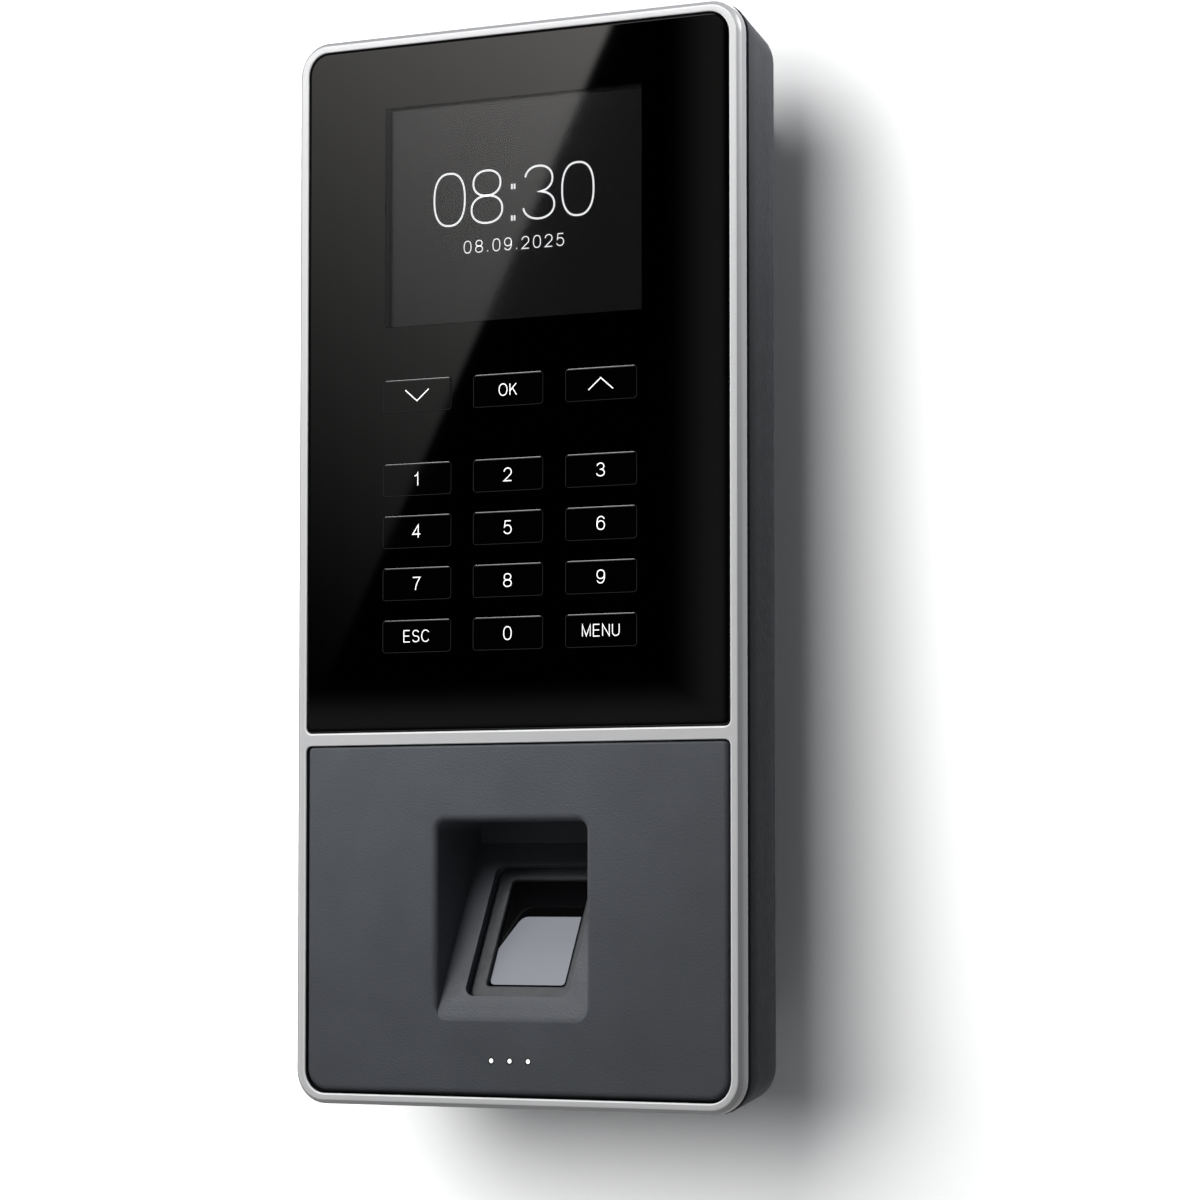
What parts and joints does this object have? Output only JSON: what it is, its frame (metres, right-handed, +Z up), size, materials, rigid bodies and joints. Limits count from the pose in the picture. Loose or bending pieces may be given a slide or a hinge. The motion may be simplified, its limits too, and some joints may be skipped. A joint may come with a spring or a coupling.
{
  "type": "wall-mounted time clock",
  "caption": "Wall-mounted electronic time clock: slim upright terminal with a silver bezel, gloss black display and keypad panel, and a sloping finger reader recess below.",
  "frame": {"origin": "centre of the wall plate's screw pattern, on its back face, which lies on the wall", "axes": "+Z up, the front faces -Y and the wall is at +Y, +X to the right seen from the front"},
  "size_m": [0.099, 0.042, 0.2088],
  "materials": {
    "bezel_silver": "satin, bead blasted",
    "carrier_black": "moulded, matt",
    "panel_gloss_black": "polished",
    "key_gloss_black": "polished",
    "clear_window": "polished",
    "screen_glass": "lit screen",
    "charcoal_plastic": "fine moulded texture",
    "housing_grey": "fine moulded texture",
    "sensor_frame": "moulded, matt",
    "sensor_prism": "polished",
    "light_pipe": "lit, white",
    "silicone": "matt",
    "circuit_board": "solder mask",
    "plated_steel": "plated",
    "screw_steel": "zinc plated",
    "plate_steel": "zinc plated",
    "flat_cable": "amber film"
  },
  "bodies": {
    "terminal": {"front_bezel": "bezel_silver", "front_chassis": "carrier_black", "sensor_body": "carrier_black", "coin_cell_holder": "carrier_black", "buzzer": "carrier_black", "power_jack": "carrier_black", "front_panel": "panel_gloss_black", "display_lens": "clear_window", "lcd_screen": "screen_glass", "lower_panel": "charcoal_plastic", "rear_housing": "housing_grey", "sensor_bezel": "sensor_frame", "sensor_glass": "sensor_prism", "status_light_pipe": "light_pipe", "keypad_mat": "silicone", "keypad_board": "circuit_board", "sensor_board": "circuit_board", "status_led_board": "circuit_board", "main_board": "circuit_board", "port_board": "circuit_board", "lcd_frame": "plated_steel", "lcd_bracket": "plated_steel", "processor_shield": "plated_steel", "coin_cell": "plated_steel", "ethernet_jack": "plated_steel", "usb_socket": "plated_steel", "lcd_bracket_screws": "screw_steel", "keypad_board_screws": "screw_steel", "sensor_screws": "screw_steel", "main_board_screws": "screw_steel", "port_board_screws": "screw_steel", "housing_screws": "screw_steel", "lock_screw": "screw_steel", "wall_plate": "plate_steel", "lcd_cable": "flat_cable", "keypad_cable": "flat_cable", "sensor_cable": "flat_cable", "port_cable": "flat_cable"},
    "key_esc": {"key_esc": "key_gloss_black"},
    "key_0": {"key_0": "key_gloss_black"},
    "key_menu": {"key_menu": "key_gloss_black"},
    "key_7": {"key_7": "key_gloss_black"},
    "key_8": {"key_8": "key_gloss_black"},
    "key_9": {"key_9": "key_gloss_black"},
    "key_4": {"key_4": "key_gloss_black"},
    "key_5": {"key_5": "key_gloss_black"},
    "key_6": {"key_6": "key_gloss_black"},
    "key_1": {"key_1": "key_gloss_black"},
    "key_2": {"key_2": "key_gloss_black"},
    "key_3": {"key_3": "key_gloss_black"},
    "key_down": {"key_down": "key_gloss_black"},
    "key_ok": {"key_ok": "key_gloss_black"},
    "key_up": {"key_up": "key_gloss_black"}
  },
  "joints": [
    {"name": "key_esc_press", "type": "slide", "parent": "terminal", "child": "key_esc", "axis": [0, 1, 0], "range_m": [0, 0.0006], "stiffness_N_per_m": 800},
    {"name": "key_0_press", "type": "slide", "parent": "terminal", "child": "key_0", "axis": [0, 1, 0], "range_m": [0, 0.0006], "stiffness_N_per_m": 800},
    {"name": "key_menu_press", "type": "slide", "parent": "terminal", "child": "key_menu", "axis": [0, 1, 0], "range_m": [0, 0.0006], "stiffness_N_per_m": 800},
    {"name": "key_7_press", "type": "slide", "parent": "terminal", "child": "key_7", "axis": [0, 1, 0], "range_m": [0, 0.0006], "stiffness_N_per_m": 800},
    {"name": "key_8_press", "type": "slide", "parent": "terminal", "child": "key_8", "axis": [0, 1, 0], "range_m": [0, 0.0006], "stiffness_N_per_m": 800},
    {"name": "key_9_press", "type": "slide", "parent": "terminal", "child": "key_9", "axis": [0, 1, 0], "range_m": [0, 0.0006], "stiffness_N_per_m": 800},
    {"name": "key_4_press", "type": "slide", "parent": "terminal", "child": "key_4", "axis": [0, 1, 0], "range_m": [0, 0.0006], "stiffness_N_per_m": 800},
    {"name": "key_5_press", "type": "slide", "parent": "terminal", "child": "key_5", "axis": [0, 1, 0], "range_m": [0, 0.0006], "stiffness_N_per_m": 800},
    {"name": "key_6_press", "type": "slide", "parent": "terminal", "child": "key_6", "axis": [0, 1, 0], "range_m": [0, 0.0006], "stiffness_N_per_m": 800},
    {"name": "key_1_press", "type": "slide", "parent": "terminal", "child": "key_1", "axis": [0, 1, 0], "range_m": [0, 0.0006], "stiffness_N_per_m": 800},
    {"name": "key_2_press", "type": "slide", "parent": "terminal", "child": "key_2", "axis": [0, 1, 0], "range_m": [0, 0.0006], "stiffness_N_per_m": 800},
    {"name": "key_3_press", "type": "slide", "parent": "terminal", "child": "key_3", "axis": [0, 1, 0], "range_m": [0, 0.0006], "stiffness_N_per_m": 800},
    {"name": "key_down_press", "type": "slide", "parent": "terminal", "child": "key_down", "axis": [0, 1, 0], "range_m": [0, 0.0006], "stiffness_N_per_m": 800},
    {"name": "key_ok_press", "type": "slide", "parent": "terminal", "child": "key_ok", "axis": [0, 1, 0], "range_m": [0, 0.0006], "stiffness_N_per_m": 800},
    {"name": "key_up_press", "type": "slide", "parent": "terminal", "child": "key_up", "axis": [0, 1, 0], "range_m": [0, 0.0006], "stiffness_N_per_m": 800}
  ]
}
